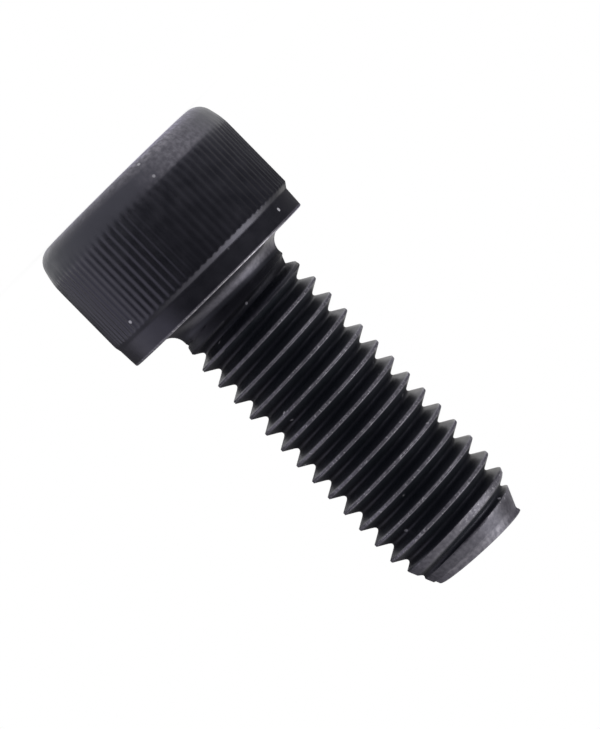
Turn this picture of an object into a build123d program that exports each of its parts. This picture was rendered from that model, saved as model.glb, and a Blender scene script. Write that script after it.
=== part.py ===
from build123d import *
from math import ceil, cos, pi, radians, sin, tan
import os

# A black steel socket head bolt, standing on the end face of its head with the thread upwards.
# Lengths are in millimetres and angles in degrees. The axis of the bolt is Z.

# Head: a rounded end, a straight-knurled barrel and a plain rim above the knurl
head_diameter = 16.0
head_height = 9.84
head_end_round = 1.3
head_cone_height = 2.05
head_cone_angle = 14.0
bevel_height = 0.4
rim_height = 1.5
rim_inset = 0.2
rim_taper = 0.07
rim_edge_chamfer = 0.12

# Knurl: straight ridges of V section all around the barrel
knurl_count = 88
knurl_depth = 0.1
knurl_overrun = 0.05

# Hexagon socket in the end face
socket_sides = 6
socket_across_flats = 8.0
socket_depth = 5.0
socket_ledge = 0.1
socket_floor_angle = 150.0
mouth_relief = 0.14
mouth_angle = 120.0

# Shank and thread: a right-hand thread of 60 degree form, rolled up to the neck
shank_length = 25.0
thread_diameter = 9.78
thread_pitch = 1.5
thread_flank_angle = 30.0
crest_flat_share = 1 / 8
root_flat_share = 1 / 6
thread_start_share = 0.27
neck_fillet = 1.14
neck_land = 0.12
run_out_length = 1.2
lead_in_length = 2.0

# Tip: a taper that passes below the root of the thread, with a softened edge
tip_taper_length = 3.19
tip_inset = 0.44
tip_edge_chamfer = 0.12

# Heights and radii that follow from the sizes above
head_radius = head_diameter / 2
head_cone_slope = tan(radians(head_cone_angle))
rim_radius = head_radius - rim_inset
rim_base = head_height - rim_height
bevel_base = rim_base - bevel_height

flank_slope = tan(radians(thread_flank_angle))
crest_flat = thread_pitch * crest_flat_share
root_flat = thread_pitch * root_flat_share
thread_depth = (thread_pitch - crest_flat - root_flat) / (2 * flank_slope)
crest_radius = thread_diameter / 2
root_radius = crest_radius - thread_depth
neck_radius = (crest_radius + root_radius) / 2
neck_top = head_height + neck_fillet + neck_land
tip_radius = root_radius - tip_inset
bolt_height = head_height + shank_length

# Threaded rod: its crests grow out of the neck, and its start is buried in the head
rod_start = head_height - thread_pitch
lead_in_start = neck_top - neck_land / 2
lead_in_slope = (crest_radius - neck_radius) / lead_in_length
rod_start_radius = neck_radius - lead_in_slope * (lead_in_start - rod_start)

# Thread groove: a flat root and two flanks, carried along a helix from inside the head past the tip
groove_start = head_height - thread_pitch * thread_start_share
groove_turns = ceil((bolt_height - groove_start) / thread_pitch) + 1
groove_overrun = crest_flat / 2
groove_mouth_radius = crest_radius + groove_overrun
groove_mouth_half = root_flat / 2 + (thread_depth + groove_overrun) * flank_slope

with BuildPart() as threaded_rod:
    with BuildSketch(Plane.XZ):
        with BuildLine():
            Polyline(
                (0, rod_start),
                (rod_start_radius, rod_start),
                (crest_radius, lead_in_start + lead_in_length),
                (crest_radius, bolt_height - tip_taper_length),
                (tip_radius, bolt_height),
                (0, bolt_height),
                close=True,
            )
        make_face()
    revolve(axis=Axis.Z)
    tip_edge = threaded_rod.edges().filter_by(GeomType.CIRCLE).sort_by(Axis.Z)[-1]
    chamfer(tip_edge, length=tip_edge_chamfer)

    # Each turn of the helix stays an edge of its own, which keeps the groove's faces short
    groove_path = Wire(
        Helix(
            thread_pitch,
            thread_pitch,
            root_radius,
            center=(0, 0, groove_start + turn * thread_pitch),
            mode=Mode.PRIVATE,
        )
        for turn in range(groove_turns)
    )
    with BuildSketch(Plane.XZ):
        with BuildLine():
            Polyline(
                (root_radius, groove_start - root_flat / 2),
                (groove_mouth_radius, groove_start - groove_mouth_half),
                (groove_mouth_radius, groove_start + groove_mouth_half),
                (root_radius, groove_start + root_flat / 2),
                close=True,
            )
        make_face()
    sweep(path=groove_path, is_frenet=True, clean=False, mode=Mode.SUBTRACT)

# Neck: a cone inside the shank fills the thread groove up to the neck, so that the groove runs out
run_out_slope = (neck_radius - root_radius) / run_out_length
run_out_apex = neck_top + neck_radius / run_out_slope

# Head blank: a little larger than the knurl, so that its end cone and bevel meet the ridges
blank_radius = head_radius + knurl_overrun
blank_cone_top = head_cone_height + knurl_overrun / head_cone_slope
blank_bevel_base = bevel_base - knurl_overrun * bevel_height / rim_inset

# Knurl outline: ridges and grooves in turn
knurl_root_radius = head_radius - knurl_depth
knurl_radii = [head_radius, knurl_root_radius] * knurl_count
knurl_step = pi / knurl_count
knurl_outline = [
    (radius * cos(index * knurl_step), radius * sin(index * knurl_step))
    for index, radius in enumerate(knurl_radii)
]

# Socket sections
socket_inradius = socket_across_flats / 2
socket_corner_radius = socket_inradius / cos(radians(180 / socket_sides))
socket_floor_radius = socket_inradius - socket_ledge
socket_floor_height = socket_floor_radius / tan(radians(socket_floor_angle / 2))
mouth_radius = socket_corner_radius + mouth_relief
mouth_height = mouth_radius / tan(radians(mouth_angle / 2))
on_base = (Align.CENTER, Align.CENTER, Align.MIN)

with BuildPart() as blade_bolt:
    with BuildSketch(Plane.XZ):
        with BuildLine():
            Polyline(
                (0, 0),
                (head_radius - head_cone_height * head_cone_slope, 0),
                (blank_radius, blank_cone_top),
                (blank_radius, blank_bevel_base),
                (rim_radius, rim_base),
                (rim_radius - rim_taper, head_height),
                (neck_radius, head_height),
                (neck_radius, neck_top),
                (0, run_out_apex),
                close=True,
            )
        make_face()
    revolve(axis=Axis.Z)

    # Rounded end of the head, fillet under the head and broken edge of the rim
    circles = blade_bolt.edges().filter_by(GeomType.CIRCLE)
    fillet(circles.sort_by(Axis.Z)[0], radius=head_end_round)
    underside = blade_bolt.faces().filter_by(GeomType.PLANE).sort_by(Axis.Z)[-1]
    neck_edge, rim_edge = underside.edges().sort_by(SortBy.RADIUS)
    fillet(neck_edge, radius=neck_fillet)
    chamfer(rim_edge, length=rim_edge_chamfer)

    add(threaded_rod.part)

    # Straight knurl, which fades out by itself on the end cone and on the bevel
    with BuildSketch():
        Circle(blank_radius + knurl_overrun)
        Polygon(*knurl_outline, align=None, mode=Mode.SUBTRACT)
    extrude(amount=rim_base, mode=Mode.SUBTRACT)

    # Hexagon socket with a conical floor and a relieved mouth
    with BuildSketch():
        RegularPolygon(socket_inradius, socket_sides, major_radius=False)
    extrude(amount=socket_depth, mode=Mode.SUBTRACT)
    with Locations((0, 0, socket_depth)):
        Cone(socket_floor_radius, 0, socket_floor_height, align=on_base, mode=Mode.SUBTRACT)
    Cone(mouth_radius, 0, mouth_height, align=on_base, mode=Mode.SUBTRACT)

blade_bolt.part.label = "blade_bolt"

os.makedirs("parts", exist_ok=True)
export_step(blade_bolt.part, "parts/blade_bolt.step")
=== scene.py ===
import math

import bmesh
import bpy
import numpy as np
from mathutils import Matrix, Vector


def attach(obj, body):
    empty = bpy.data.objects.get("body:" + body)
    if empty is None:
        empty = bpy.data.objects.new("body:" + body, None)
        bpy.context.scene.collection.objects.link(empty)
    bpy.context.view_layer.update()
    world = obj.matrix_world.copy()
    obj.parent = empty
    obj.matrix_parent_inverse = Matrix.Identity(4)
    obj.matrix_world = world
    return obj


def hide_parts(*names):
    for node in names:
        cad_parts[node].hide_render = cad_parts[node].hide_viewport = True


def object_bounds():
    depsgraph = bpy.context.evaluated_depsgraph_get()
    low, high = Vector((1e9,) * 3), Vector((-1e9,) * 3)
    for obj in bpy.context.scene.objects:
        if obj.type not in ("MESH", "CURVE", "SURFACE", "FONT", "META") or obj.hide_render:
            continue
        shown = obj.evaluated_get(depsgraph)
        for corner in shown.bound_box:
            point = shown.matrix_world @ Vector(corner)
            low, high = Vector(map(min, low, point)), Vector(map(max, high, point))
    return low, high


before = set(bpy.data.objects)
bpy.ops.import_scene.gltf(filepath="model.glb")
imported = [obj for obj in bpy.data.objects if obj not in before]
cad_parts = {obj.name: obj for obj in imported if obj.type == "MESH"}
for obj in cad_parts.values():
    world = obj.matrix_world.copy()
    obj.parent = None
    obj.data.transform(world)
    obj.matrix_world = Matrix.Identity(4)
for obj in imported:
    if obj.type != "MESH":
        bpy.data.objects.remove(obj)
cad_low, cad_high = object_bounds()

# A black steel socket head bolt, which stands on the end face of its head with its axis on Z.
# Its sizes are in millimetres. The stage, the lamp and the camera are in metres.
MM = 0.001
TURN = 2 * math.pi
chance = np.random.default_rng(11)

# Rings along a large round and a small edge, points round the thread, and the angle of crisp edges
round_steps = 10
edge_steps = 5
thread_points = 176
crisp_angle = math.radians(50.0)

# Head, with a rim that sits a little off the axis
head_radius = cad_high.x / MM
head_height = 9.84
end_round = 1.3
cone_top = 2.05
cone_angle = math.radians(14.0)
cone_slope = math.tan(cone_angle)
rim_height = 1.5
rim_inset = 0.2
rim_taper = 0.07
rim_chamfer = 0.12
rim_shift = 0.1
bevel_height = 0.4
rim_base = head_height - rim_height
bevel_base = rim_base - bevel_height
rim_radius = head_radius - rim_inset
rim_top_radius = rim_radius - rim_taper
underside_edge = 0.4
cone_heights = np.linspace(1.15, 2.4, round_steps)
barrel_heights = np.linspace(3.0, 7.4, edge_steps)
bevel_heights = np.linspace(7.7, rim_base, round_steps)
rim_shares = (0.08, 0.3, 0.65, 0.95)

# Knurl, which starts at a wavy line and is shallow at both ends and in worn stretches
ridge_count = 88
points_per_ridge = 8
knurl_depth = 0.075
ridge_unevenness = 0.012
cone_blend = 0.16
bevel_blend = 0.04
knurl_fade = 0.7
knurl_start = 1.75
knurl_start_wave = 0.25
knurl_start_phase = 0.5
knurl_end_share = 0.35
knurl_worn_share = 0.15
knurl_worn_slant = 0.6

# Hexagon socket
socket_sides = 6
socket_inradius = 4.0
socket_depth = 5.0
socket_edge = 0.03
socket_corner = 0.1
socket_floor_radius = 3.9
socket_floor_shares = (0.6, 0.25, 0.05)
socket_apex = 6.05
mouth_radius = 4.76
mouth_slope = math.tan(math.radians(30.0))
mouth_edge = 0.02

# Neck, lead-in and run-out of the thread
neck_fillet = 1.14
neck_land = 0.12
neck_top = head_height + neck_fillet + neck_land
lead_in_start = neck_top - neck_land / 2
lead_in_length = 2.0
run_out_length = 1.2

# Thread: carried on down to the floor, its helix has a crest at crest_height on the +X side.
# The rows of its points lie at these steps below and above the crest.
pitch = 1.5
crest_radius = 4.89
root_radius = 3.97
neck_radius = (crest_radius + root_radius) / 2
crest_height = 1.185
crest_flat = pitch / 8
crest_round = 0.04
root_round = 0.2
flank_slope = math.tan(math.radians(30.0))
thread_base = 11.03
thread_end = 34.15
thread_steps = (0.03, 0.06, 0.1, 0.18, 0.3, 0.42, 0.53, 0.61, 0.68)

# Shallow seam along the crests, which opens and closes along the helix
seam_width = 0.045
seam_depth = 0.03
seam_half_open = 0.5
seam_wave = 5.3
seam_slow_wave = 1.9
seam_phase = 1.0

# Tip: its end face leans a little, and its edge has a small burr
bolt_height = cad_high.z / MM
tip_radius = 3.53
tip_taper_length = 3.19
tip_slope = (crest_radius - tip_radius) / tip_taper_length
tip_chamfer = 0.12
tip_tilt = 0.28
tip_face_shares = (0.85, 0.5, 0.1)
tip_edge_bends = np.linspace(0.3, math.pi / 2, edge_steps)
burr_size = 0.2
burr_angle = math.radians(183.0)
burr_sharpness = 8

# Wear and painted light is 1 or more on a bare edge, 0 on plain oxide and -1 deep in a groove. Bare
# edges are partly real wear and partly painted highlight, one side is painted lighter as if more
# light fell on it, and grooves below 0 get painted fill light and painted shade.
# Places along the neck's fillet are in half turns, from 0.5 at the head to 1 at the neck.
# The side painted lighter, as painted highlight, with painted shade opposite
painted_lit_side = math.radians(190.0)
# The head's end edge is partly real wear and partly painted highlight, and its end carries a painted
# reflection
end_edge_heights = (0.05, 0.35, 0.8)
end_edge_wear_and_highlight = (0.9, 0.4, 0.0)
end_reflection_patch = 0.36
end_patch_angle = 4.1
end_reflection_ripple = 0.1
end_reflection_drop = 0.06
end_reflection_top = 2.45
end_reflection_fade = 0.6
# The rim's edge is partly real wear and partly painted highlight, lighter on the painted lit side
rim_wear_and_highlight = 1.0
rim_side_highlight = 0.6
underside_wear = 0.25
mouth_wear = 0.8
socket_edge_wear = 0.4
# A painted highlight band along the neck's fillet, lighter on the painted lit side
fillet_places = (0.6, 0.85, 0.91, 1.0)
fillet_band = (0.0, 1.0, 0.8, 0.0)
fillet_highlight = 0.2
fillet_side_highlight = 0.25
# The neck just under the head shines less, as painted shade
neck_shade = -0.9
neck_shade_top = 12.6
neck_shade_fade = 0.8
# Crests are bare steel, partly real wear and partly painted highlight, lighter on the painted lit
# side
crest_heights = (12.0, 20.0, 30.5, 32.0, 33.3, 33.5)
crest_wear_and_highlight = (0.46, 0.65, 0.77, 0.5, 0.5, 0.33)
crest_lit_side_share = 0.16
crest_mark_depth = 0.14
# Grooves and roots get a paler colour as painted fill light and less shine as painted shade, darker
# on the side away from the painted light
groove_fill_and_shade = 0.35
groove_dark_side_share = 0.9
root_fill_and_shade = 0.2
root_mark_depth = 0.3
root_mark_fade = 0.25
# The taper and tip are partly real wear and partly painted highlight
taper_wear_and_highlight = 0.45
tip_wear_and_highlight = 0.54


def smooth_min(a, b, width):
    """The smaller of two values, with the corner between them rounded over a width."""
    share = np.clip(0.5 + 0.5 * (b - a) / width, 0, 1)
    return b + (a - b) * share - width * share * (1 - share)


def smooth_max(a, b, width):
    """The larger of two values, with the corner between them rounded over a width."""
    return -smooth_min(-np.asarray(a), -np.asarray(b), width)


def angles(count):
    """Angles of a ring's points, counted from +X."""
    return np.arange(count) * TURN / count


def side_share(count):
    """From 1 on the side painted lightest, as if more light fell on it, to -1 on the opposite side.
    """
    return np.cos(angles(count) - painted_lit_side)


class Skin:
    """Points and faces of one closed surface, built ring by ring round the Z axis."""

    def __init__(self):
        self.points = []
        self.wear_and_painted_light = []
        self.faces = []

    def add(self, radius, angle, height, wear_and_painted_light, shift=0.0):
        """Adds points and returns their numbers."""
        first = len(self.points)
        self.points.extend(zip(radius * np.cos(angle) + shift, radius * np.sin(angle), height))
        self.wear_and_painted_light.extend(wear_and_painted_light)
        return np.arange(first, len(self.points))

    def ring(self, radius, height, count, wear_and_painted_light=0.0, shift=0.0):
        """Adds a ring; radius, height, and wear and painted light are one value or one for each
        point.
        """
        radius, height, wear_and_painted_light = (np.broadcast_to(value, count) for value in (radius, height, wear_and_painted_light))
        return self.add(radius, angles(count), height, wear_and_painted_light, shift)

    def join(self, first, second):
        """Joins two rings, of which the first may have several points to each of the second."""
        many = len(first) // len(second)
        for place in range(len(second)):
            run = [first[(place * many + step) % len(first)] for step in range(many + 1)]
            self.faces.append([*run, second[(place + 1) % len(second)], second[place]])

    def join_all(self, rings):
        for first, second in zip(rings, rings[1:]):
            self.join(first, second)

    def close(self, ring):
        """Closes the surface with one flat face inside a ring."""
        self.faces.append(list(ring))


def knurl_groove(count):
    """Depth of the knurl's grooves at each point of a ring, with ridges that differ a little."""
    ridge = np.arange(count) / points_per_ridge
    off_ridge = 2 * np.abs((ridge + 0.5) % 1 - 0.5)
    uneven = chance.uniform(0, ridge_unevenness, ridge_count)
    nearest = np.round(ridge).astype(int) % ridge_count
    return knurl_depth * (1 - np.cos(math.pi * off_ridge)) / 2 + uneven[nearest]


def knurl_share(height, angle):
    """How deep the knurl is at a height: it fades at both ends, and is shallow in worn stretches."""
    start = knurl_start + knurl_start_wave * np.sin(2 * angle + knurl_start_phase)
    fade_in = np.clip((height - start) / knurl_fade, 0, 1)
    fade_out = np.clip((rim_base - height) / knurl_fade, 0, 1)
    fade = knurl_end_share + (1 - knurl_end_share) * np.minimum(fade_in, fade_out)
    stretches = np.sin(3 * angle + height) * np.sin(5 * angle - knurl_worn_slant * height)
    return fade * (1 - knurl_worn_share + knurl_worn_share * stretches)


def end_painted_reflection(height, angle):
    """Painted reflection on the head's end: lighter on two sides, darker between them, fading up the
    cone.
    """
    patches = end_reflection_patch * np.cos(2 * (angle - end_patch_angle))
    ripple = end_reflection_ripple * np.sin(5 * angle)
    fade = np.clip((end_reflection_top - height) / end_reflection_fade, 0, 1)
    return (patches + ripple - end_reflection_drop) * fade


def head_outline(count):
    """Radius, height, and wear and painted light of the head's rings before the knurl, from the end
    face upwards.
    """
    cone_foot = head_radius - cone_top * cone_slope
    round_centre = cone_foot + end_round * (cone_slope - 1 / math.cos(cone_angle))
    outline = []
    for angle in np.linspace(-math.pi / 2, -cone_angle, round_steps):
        radius = round_centre + end_round * math.cos(angle)
        height = end_round * (1 + math.sin(angle))
        outline.append((radius, height, np.interp(height, end_edge_heights, end_edge_wear_and_highlight)))
    for height in cone_heights:
        outline.append((cone_foot + height * cone_slope, height, 0.0))

    # Along the barrel the blank is clear of the knurl, which alone gives the radius there
    for height in barrel_heights:
        outline.append((head_radius + 1, height, 0.0))
    for height in bevel_heights:
        drop = (height - bevel_base) / bevel_height
        outline.append((head_radius - rim_inset * drop, height, 0.0))

    rim_top = head_height - rim_chamfer
    for share in rim_shares:
        height = rim_base + (rim_top - rim_base) * share
        outline.append((rim_radius - rim_taper * share, height, 0.0))
    # Wear and painted highlight on the rim's edge
    edge_wear_and_highlight = rim_wear_and_highlight + rim_side_highlight * side_share(count)
    for angle in np.linspace(0, math.pi / 2, edge_steps):
        radius = rim_top_radius - rim_chamfer * (1 - math.cos(angle))
        outline.append((radius, rim_top + rim_chamfer * math.sin(angle), edge_wear_and_highlight))
    return outline


def head_rings(skin):
    """The outside of the head, from the end face to the underside."""
    count = ridge_count * points_per_ridge
    angle = angles(count)
    groove = knurl_groove(count)
    rings = []
    for blank, height, wear_and_painted_light in head_outline(count):
        radius = np.full(count, blank)
        if end_round < height < rim_base:
            knurl = head_radius - groove * knurl_share(height, angle)
            blend = cone_blend if height < bevel_base / 2 else bevel_blend
            radius = smooth_min(radius, knurl, blend)
        # Up the end cone the painted reflection is added
        if height < cone_top:
            wear_and_painted_light = wear_and_painted_light + end_painted_reflection(height, angle)
        shift = rim_shift * np.clip((height - bevel_base) / bevel_height, 0, 1)
        rings.append(skin.ring(radius, height, count, wear_and_painted_light, shift))
    skin.join_all(rings)
    return rings


def socket_rings(skin, rim):
    """End face, relieved mouth, hexagon walls and conical floor of the socket."""
    count = len(rim)
    side = TURN / socket_sides
    hexagon = socket_inradius / np.cos(angles(count) % side - side / 2)
    mouth = (mouth_radius - hexagon) * mouth_slope
    rings = [
        rim,
        skin.ring(mouth_radius + 3 * mouth_edge, 0, count),
        skin.ring(mouth_radius - mouth_edge, mouth_edge, count, mouth_wear),
        skin.ring(hexagon + socket_edge, mouth - socket_edge / 3, count, socket_edge_wear),
        skin.ring(hexagon, mouth + socket_edge, count, socket_edge_wear),
        skin.ring(hexagon, socket_depth / 2, count),
        skin.ring(hexagon, socket_depth - socket_corner, count),
        skin.ring(hexagon - socket_corner / 2, socket_depth, count),
        skin.ring(socket_floor_radius, socket_depth, count),
    ]
    for share in socket_floor_shares:
        height = socket_apex - (socket_apex - socket_depth) * share
        rings.append(skin.ring(socket_floor_radius * share, height, count))
    skin.join_all(rings)
    skin.close(rings[-1])


def neck_rings(skin, rim):
    """Flat underside of the head and the fillet up to the neck, with a painted highlight band on the
    fillet and painted shade where it meets the neck.
    """
    centre = neck_radius + neck_fillet
    edge_radius = rim_top_radius - underside_edge
    rings = [rim, skin.ring(edge_radius, head_height, thread_points, underside_wear, rim_shift)]
    band_highlight = fillet_highlight + fillet_side_highlight * side_share(thread_points)
    for angle in np.linspace(math.pi / 2, math.pi, round_steps):
        radius = centre + neck_fillet * math.cos(angle)
        height = head_height + neck_fillet * (1 - math.sin(angle))
        band = np.interp(angle / math.pi, fillet_places, fillet_band)
        dull = np.interp(angle / math.pi, fillet_places[-2:], (0.0, neck_shade))
        rings.append(skin.ring(radius, height, thread_points, band * band_highlight + dull))
    rings.append(skin.ring(neck_radius, thread_base, thread_points, neck_shade))
    skin.join_all(rings)
    return rings[-1]


def taper_radius(height):
    """Radius of the tip's taper, which is larger than the thread further down."""
    return tip_radius + tip_slope * (bolt_height - height)


def shank_radius(angle, height):
    """Radius of the shank: thread, lead-in and run-out at the neck, and taper at the tip."""
    over_crest = height - crest_height - pitch * angle / TURN
    off_crest = np.abs((over_crest + pitch / 2) % pitch - pitch / 2)
    flank = crest_radius - (off_crest - crest_flat / 2) / flank_slope
    thread = smooth_min(flank, crest_radius, crest_round)
    thread = smooth_max(thread, root_radius, root_round)

    turns = np.round(over_crest / pitch) + angle / TURN
    waves = np.sin(turns * seam_wave) * np.sin(turns * seam_slow_wave + seam_phase)
    open_seam = np.clip(seam_half_open + waves, 0, 1)
    thread = thread - seam_depth * open_seam * np.clip(1 - off_crest / seam_width, 0, 1)

    lead_in_share = (height - lead_in_start) / lead_in_length
    lead_in = neck_radius + (crest_radius - neck_radius) * lead_in_share
    outer = smooth_min(lead_in, taper_radius(height), crest_round)
    thread = smooth_min(thread, outer, crest_round)
    run_out = neck_radius - (neck_radius - root_radius) * (height - neck_top) / run_out_length
    return smooth_max(thread, run_out, crest_round)


def shank_wear_and_light(radius, height, side):
    """Wear and painted light of the thread: crests of worn steel and painted highlight, lightest on
    one side, and grooves with painted fill light and painted shade, darkest opposite.
    """
    outer = np.minimum(crest_radius, taper_radius(height))
    on_crest = np.clip((radius - outer) / crest_mark_depth + 1, 0, 1)
    rub_and_highlight = np.interp(height, crest_heights, crest_wear_and_highlight)
    rub_and_highlight = rub_and_highlight * (1 - crest_lit_side_share + crest_lit_side_share * side)
    # Painted fill light and painted shade in the grooves, darker away from the painted light
    in_groove = (1 - on_crest) * np.clip(height - neck_top, 0, 1)
    in_groove = in_groove * (1 + groove_dark_side_share * np.clip(-side, 0, 1))
    in_root = np.clip((root_radius + root_mark_depth - radius) / root_mark_fade, 0, 1)
    at_neck = np.clip((neck_shade_top - height) / neck_shade_fade, 0, 1)
    dull = np.maximum((groove_fill_and_shade + root_fill_and_shade * in_root) * in_groove, -neck_shade * at_neck)
    return on_crest * rub_and_highlight - dull


def thread_rings(skin, base, top):
    """The thread between a ring at the neck and one near the tip. Its rows follow the helix."""
    count = len(base)
    angle = angles(count)
    rise = pitch * angle / TURN
    steps = sorted([0.0, pitch / 2, *thread_steps, *(-step for step in thread_steps)])
    first_turn = math.floor((thread_base - crest_height) / pitch) - 1
    last_turn = math.ceil((thread_end - crest_height) / pitch) + 1
    rows = []
    for turn in range(first_turn, last_turn):
        for step in steps:
            height = crest_height + turn * pitch + step + rise
            row = np.where(height <= thread_base, base, top)
            inside = (height > thread_base) & (height < thread_end)
            radius = shank_radius(angle, height)
            wear_and_painted_light = shank_wear_and_light(radius, height, side_share(count))
            row[inside] = skin.add(radius[inside], angle[inside], height[inside], wear_and_painted_light[inside])
            rows.append(row)

    # A row goes on, after one turn, as the row that lies one pitch higher
    per_turn = len(steps)
    wrapped = rows[per_turn:] + [top] * per_turn
    for row, above, far, far_above in zip(rows, rows[1:], wrapped, wrapped[1:]):
        next_row = np.append(row[1:], far[0])
        next_above = np.append(above[1:], far_above[0])
        for corners in zip(row, next_row, next_above, above):
            face = list(dict.fromkeys(corners))
            if len(face) > 2:
                skin.faces.append(face)


def tip_rings(skin, base):
    """The plain end of the taper, its softened edge and the end face."""
    angle = angles(thread_points)
    lean = tip_tilt * (1 + np.cos(angle)) / 2
    burr = burr_size * np.clip(np.cos(angle - burr_angle), 0, 1) ** burr_sharpness
    edge_base = bolt_height - tip_chamfer - lean
    edge_radius = tip_radius + tip_slope * tip_chamfer
    rings = [base]

    # Places below the edge and round it, each with its share of the burr
    for below, share in ((0.3, 0.0), (0.17, 0.25), (0.05, 0.8)):
        radius = edge_radius + tip_slope * below + burr * share
        rings.append(skin.ring(radius, edge_base - below, thread_points, tip_wear_and_highlight))
    for bend, share in zip(tip_edge_bends, (1.0, 1.0, 0.85, 0.6, 0.3)):
        radius = edge_radius + burr * share - tip_chamfer * (1 - math.cos(bend))
        height = edge_base + tip_chamfer * math.sin(bend)
        rings.append(skin.ring(radius, height, thread_points, tip_wear_and_highlight))
    for share in tip_face_shares:
        rings.append(skin.ring(tip_radius * share, bolt_height - lean * share, thread_points))
    skin.join_all(rings)
    skin.close(rings[-1])


def build_bolt():
    """The bolt's whole surface as one mesh object."""
    skin = Skin()
    head = head_rings(skin)
    socket_rings(skin, head[0])
    neck = neck_rings(skin, head[-1])
    end_radius = shank_radius(angles(thread_points), thread_end)
    taper = skin.ring(end_radius, thread_end, thread_points, taper_wear_and_highlight)
    thread_rings(skin, neck, taper)
    tip_rings(skin, taper)

    mesh = bpy.data.meshes.new("bolt")
    mesh.from_pydata(np.array(skin.points) * MM, [], skin.faces)
    wear_and_painted_light = mesh.attributes.new("wear_and_painted_light", "FLOAT", "POINT")
    wear_and_painted_light.data.foreach_set("value", np.array(skin.wear_and_painted_light, np.float32))
    shell = bmesh.new()
    shell.from_mesh(mesh)
    bmesh.ops.recalc_face_normals(shell, faces=shell.faces)
    shell.to_mesh(mesh)
    shell.free()
    mesh.shade_smooth()
    mesh.set_sharp_from_angle(angle=crisp_angle)
    bolt = bpy.data.objects.new("bolt", mesh)
    bpy.context.collection.objects.link(bolt)
    return bolt


class Nodes:
    """Short calls for making and linking shader nodes."""

    def __init__(self, tree):
        self.tree = tree
        self.tree.nodes.clear()

    def set(self, socket, value):
        """Links a socket to another one, or gives it a plain value."""
        if isinstance(value, bpy.types.NodeSocket):
            self.tree.links.new(value, socket)
        else:
            socket.default_value = value

    def make(self, kind, inputs=None, **settings):
        node = self.tree.nodes.new(kind)
        for name, value in settings.items():
            setattr(node, name, value)
        for name, value in (inputs or {}).items():
            self.set(node.inputs[name], value)
        return node

    def math(self, operation, first, second):
        node = self.make("ShaderNodeMath", {0: first, 1: second}, operation=operation)
        return node.outputs[0]

    def product(self, first, *others):
        for other in others:
            first = self.math("MULTIPLY", first, other)
        return first

    def fit(self, value, span, new_span, kind="LINEAR"):
        """Fits a span of values to a new span, and stays at its ends outside it."""
        inputs = {"Value": value, "From Min": span[0], "From Max": span[1]}
        inputs.update({"To Min": new_span[0], "To Max": new_span[1]})
        return self.make("ShaderNodeMapRange", inputs, interpolation_type=kind).outputs[0]

    def rise(self, value, low, high, kind="LINEAR"):
        """From 0 below a span of values to 1 above it."""
        return self.fit(value, (low, high), (0.0, 1.0), kind)

    def fall(self, value, low, high):
        """From 1 below a span of values to 0 above it."""
        return self.fit(value, (low, high), (1.0, 0.0))

    def noise(self, vector, scale, detail):
        inputs = {"Vector": vector, "Scale": scale, "Detail": detail}
        return self.make("ShaderNodeTexNoise", inputs).outputs["Fac"]

    def blend(self, share, first, second):
        """Blends two colours. A Mix node takes them at its inputs 6 and 7, and gives output 2."""
        node = self.make("ShaderNodeMix", data_type="RGBA")
        for place, value in ((0, share), (6, first), (7, second)):
            self.set(node.inputs[place], value)
        return node.outputs[2]

    def glow(self, colour, strength):
        node = self.make("ShaderNodeBackground", {"Color": colour, "Strength": strength})
        return node.outputs[0]

    def finish(self, kind, shader):
        self.make(kind, {"Surface": shader.outputs[0]})


def make_chips(nodes, place):
    """Share of bare spots: small ragged ones, in some of the cells of a loose grid."""
    grid_scale = 650
    ragged_scale = 4500
    ragged_size = 0.04 * MM
    bend = nodes.make("ShaderNodeTexNoise", {"Vector": place, "Scale": ragged_scale})
    ragged = nodes.make(
        "ShaderNodeVectorMath",
        {0: bend.outputs["Color"], 1: (ragged_size,) * 3, 2: place},
        operation="MULTIPLY_ADD",
    )
    inputs = {"Vector": ragged.outputs[0], "Scale": grid_scale}
    cells = nodes.make("ShaderNodeTexVoronoi", inputs).outputs
    number = nodes.make("ShaderNodeSeparateColor", {"Color": cells["Color"]}).outputs["Red"]
    chosen = nodes.rise(number, 0.55, 1.0)
    spot = nodes.fall(cells["Distance"], 0.07, 0.105)
    return nodes.product(spot, chosen)


def make_flecks(nodes, place, wear_and_painted_light):
    """Share of finer bare spots, on the rubbed edges between the head's cone and the plain tip."""
    fleck_scale = 6500
    fleck_share = 0.6
    cone_end = (2.0 * MM, 3.0 * MM)
    tip_start = (33.3 * MM, 33.5 * MM)
    spots = nodes.fit(nodes.noise(place, fleck_scale, 1), (0.58, 0.68), (0.0, fleck_share))
    height = nodes.make("ShaderNodeSeparateXYZ", {"Vector": place}).outputs["Z"]
    above_cone = nodes.rise(height, *cone_end)
    below_tip = nodes.fall(height, *tip_start)
    on_edge = nodes.rise(wear_and_painted_light, 0.42, 0.47)
    return nodes.product(spots, on_edge, above_cone, below_tip)


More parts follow.
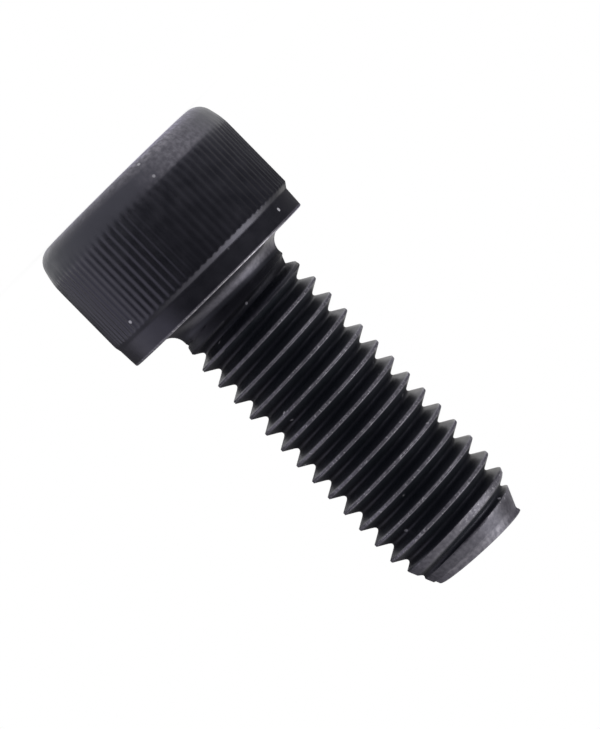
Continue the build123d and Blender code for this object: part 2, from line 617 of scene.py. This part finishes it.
def black_oxide():
    """Satin black oxide on steel: mottled, finely grained and chipped, with bare steel where edges
    rub and as painted highlight, and painted fill light and painted shade in the grooves.
    """
    dark_oxide = (0.0038, 0.0045, 0.0058, 1)
    light_oxide = (0.0074, 0.008, 0.0104, 1)
    # The groove colour is a painted fill light; the bare steel shows worn edges and painted highlight
    groove_painted_fill = (0.0085, 0.0108, 0.0138, 1)
    bare_steel_and_highlight = (0.3, 0.29, 0.325, 1)
    chipped_steel = (0.42, 0.42, 0.44, 1)
    shine_tint = (0.83, 0.81, 1.0, 1)
    mottle_scale = 900
    patch_scale = 3500
    grain_scale = 9000
    grain_depth = 0.02 * MM
    grain_strength = 0.3
    dull_roughness = 0.15

    material = bpy.data.materials.new("black_oxide_steel")
    material.use_nodes = True
    nodes = Nodes(material.node_tree)
    place = nodes.make("ShaderNodeTexCoord").outputs["Object"]
    wear_and_painted_light = nodes.make("ShaderNodeAttribute", attribute_name="wear_and_painted_light").outputs["Fac"]
    mottle = nodes.noise(place, mottle_scale, 4)
    patch = nodes.noise(place, patch_scale, 2)
    grain = nodes.noise(place, grain_scale, 3)

    # Worn edges and painted highlights are bare steel in patches, chips are bare all over, and
    # grooves get a paler colour as painted fill light
    rub_and_highlight = nodes.product(wear_and_painted_light, nodes.fit(patch, (0.35, 0.68), (0.4, 1.0)))
    bare_and_highlight = nodes.math("MAXIMUM", rub_and_highlight, 0.0)
    chip = nodes.math("MAXIMUM", make_chips(nodes, place), make_flecks(nodes, place, wear_and_painted_light))
    painted_fill = nodes.product(nodes.fall(wear_and_painted_light, -0.4, 0.0), nodes.rise(wear_and_painted_light, -0.8, -0.6))
    oxide = nodes.blend(painted_fill, nodes.blend(mottle, dark_oxide, light_oxide), groove_painted_fill)
    colour = nodes.blend(chip, nodes.blend(bare_and_highlight, oxide, bare_steel_and_highlight), chipped_steel)

    # Grooves are rougher, and shine less as painted shade
    satin = nodes.fit(mottle, (0.3, 0.7), (0.28, 0.42))
    dull = nodes.fit(wear_and_painted_light, (-1.0, 0.0), (dull_roughness, 0.0))
    bump = nodes.make(
        "ShaderNodeBump", {"Height": grain, "Strength": grain_strength, "Distance": grain_depth}
    )
    shader = nodes.make(
        "ShaderNodeBsdfPrincipled",
        {
            "Base Color": colour,
            "Metallic": bare_and_highlight,
            "Roughness": nodes.math("ADD", satin, dull),
            "Specular IOR Level": nodes.fit(wear_and_painted_light, (-1.0, 0.0), (0.35, 0.75)),
            "Specular Tint": shine_tint,
            "Normal": bump.outputs["Normal"],
        },
    )
    nodes.finish("ShaderNodeOutputMaterial", shader)
    return material


def pale_floor():
    """White floor: it stays white to the camera and in reflections, and keeps a faint shadow."""
    floor_colour = (0.9, 0.9, 0.9, 1)
    glow_share = 0.95
    material = bpy.data.materials.new("pale_floor")
    material.use_nodes = True
    nodes = Nodes(material.node_tree)
    rays = nodes.make("ShaderNodeLightPath").outputs
    seen = nodes.math("MAXIMUM", rays["Is Camera Ray"], rays["Is Transmission Ray"])
    seen = nodes.math("MAXIMUM", seen, rays["Is Glossy Ray"])
    paint = nodes.make("ShaderNodeBsdfDiffuse", {"Color": floor_colour})
    glow = nodes.make("ShaderNodeEmission", {"Color": (1, 1, 1, 1), "Strength": 1.0})
    mixed = nodes.make(
        "ShaderNodeMixShader",
        {0: nodes.product(seen, glow_share), 1: paint.outputs[0], 2: glow.outputs[0]},
    )
    nodes.finish("ShaderNodeOutputMaterial", mixed)
    return material


def make_floor():
    """A small round table top. The bolt stands near its front edge, and so mirrors little of it."""
    radius = 0.05
    middle = 0.032
    drop = 0.02 * MM
    points = 96

    # The drop keeps the floor out of the plane of the bolt's end face
    mesh = bpy.data.meshes.new("floor")
    corners = [(radius * math.cos(a), middle + radius * math.sin(a), -drop) for a in angles(points)]
    mesh.from_pydata(corners, [], [range(points)])
    mesh.materials.append(pale_floor())
    floor = bpy.data.objects.new("floor", mesh)
    bpy.context.collection.objects.link(floor)


def make_world():
    """White to the camera. To the bolt it is a dim room with a bright ceiling and a pale +X wall."""
    wall_colour = (1.0, 0.97, 1.08, 1)
    lamp_colour = (1, 0.985, 0.93, 1)
    diffuse_fill = 0.5
    world = bpy.data.worlds.new("studio")
    bpy.context.scene.world = world
    world.use_nodes = True
    nodes = Nodes(world.node_tree)
    rays = nodes.make("ShaderNodeLightPath").outputs
    way = nodes.make("ShaderNodeTexCoord").outputs["Generated"]
    x, y, z = nodes.make("ShaderNodeSeparateXYZ", {"Vector": way}).outputs

    # Each light fades over spans of the direction's three parts, which run from -1 to 1
    ceiling = nodes.product(
        nodes.rise(z, 0.45, 0.8, "SMOOTHSTEP"),
        nodes.fit(z, (0.82, 1.0), (1.0, 0.5)),
        nodes.fit(y, (0.1, 0.6), (1.0, 0.45)),
        nodes.fit(x, (-0.75, 0.7), (2.2, 0.85)),
    )
    left_wall = nodes.fit(x, (-0.75, -0.3), (0.12, 0.075))
    right_wall = nodes.product(
        nodes.fit(x, (0.7, 0.92), (0.0, 0.68), "SMOOTHSTEP"),
        nodes.fit(y, (0.4, 0.85), (1.0, 0.3)),
        nodes.fit(z, (0.1, 0.45), (1.0, 0.15)),
    )
    low_or_high = nodes.math("ADD", nodes.fall(z, -0.1, 0.0), nodes.rise(z, 0.15, 0.3))
    glare = nodes.product(nodes.rise(y, 0.7, 0.95), nodes.fall(x, -0.1, 0.05), low_or_high)
    fill = nodes.product(rays["Is Diffuse Ray"], diffuse_fill)
    walls = nodes.math("ADD", nodes.math("ADD", left_wall, right_wall), fill)
    lamps = nodes.math("ADD", ceiling, glare)
    lights = nodes.make(
        "ShaderNodeAddShader",
        {0: nodes.glow(wall_colour, walls), 1: nodes.glow(lamp_colour, lamps)},
    )

    # The white backdrop is all that the camera sees, and what lies behind the bolt in reflections
    mirrored = nodes.product(rays["Is Glossy Ray"], nodes.rise(y, 0.985, 0.995))
    seen = nodes.math("MAXIMUM", rays["Is Camera Ray"], rays["Is Transmission Ray"])
    backdrop = nodes.glow((1, 1, 1, 1), 1.0)
    mixed = nodes.make(
        "ShaderNodeMixShader",
        {0: nodes.math("MAXIMUM", seen, mirrored), 1: lights.outputs[0], 2: backdrop},
    )
    nodes.finish("ShaderNodeOutputWorld", mixed)


def make_softbox(name, towards, distance, size, radiance):
    """A square lamp that faces the bolt's middle from a direction."""
    lamp = bpy.data.lights.new(name, "AREA")
    lamp.shape = "SQUARE"
    lamp.size = size
    lamp.energy = radiance * math.pi * size * size
    box = bpy.data.objects.new(name, lamp)
    way = Vector(towards).normalized()
    box.location = Vector((0, 0, bolt_height * MM / 2)) + way * distance
    box.rotation_euler = way.to_track_quat("Z", "Y").to_euler()
    bpy.context.collection.objects.link(box)


def make_camera():
    """The photo's view: level with the head, from -Y, rolled so that the tip points down right."""
    stand = Vector((0, -0.32, 0.005))
    aim = Vector((-0.00006, 0, 0.01742))
    roll = math.radians(45.45)
    focal_pixels = 4769
    picture_height = 729
    sensor = 36.0
    forward = (aim - stand).normalized()
    along = (Vector((0, 0, 1)) - forward * forward.z).normalized()
    across = forward.cross(along)
    right = along * math.cos(roll) - across * math.sin(roll)
    up = -along * math.sin(roll) - across * math.cos(roll)
    view = bpy.data.cameras.new("camera")
    view.sensor_width = sensor
    view.lens = focal_pixels * sensor / picture_height
    camera = bpy.data.objects.new("camera", view)
    turn = Matrix((right, up, -forward)).transposed()
    camera.matrix_world = Matrix.Translation(stand) @ turn.to_4x4()
    bpy.context.collection.objects.link(camera)
    bpy.context.scene.camera = camera


bolt = build_bolt()
bolt.data.materials.append(black_oxide())
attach(bolt, "root")
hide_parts("blade_bolt")

make_floor()
make_world()
make_softbox("key", towards=(-0.66, -0.3, 0.68), distance=0.4, size=0.3, radiance=1.4)
make_camera()
bpy.context.scene.view_settings.view_transform = "Standard"
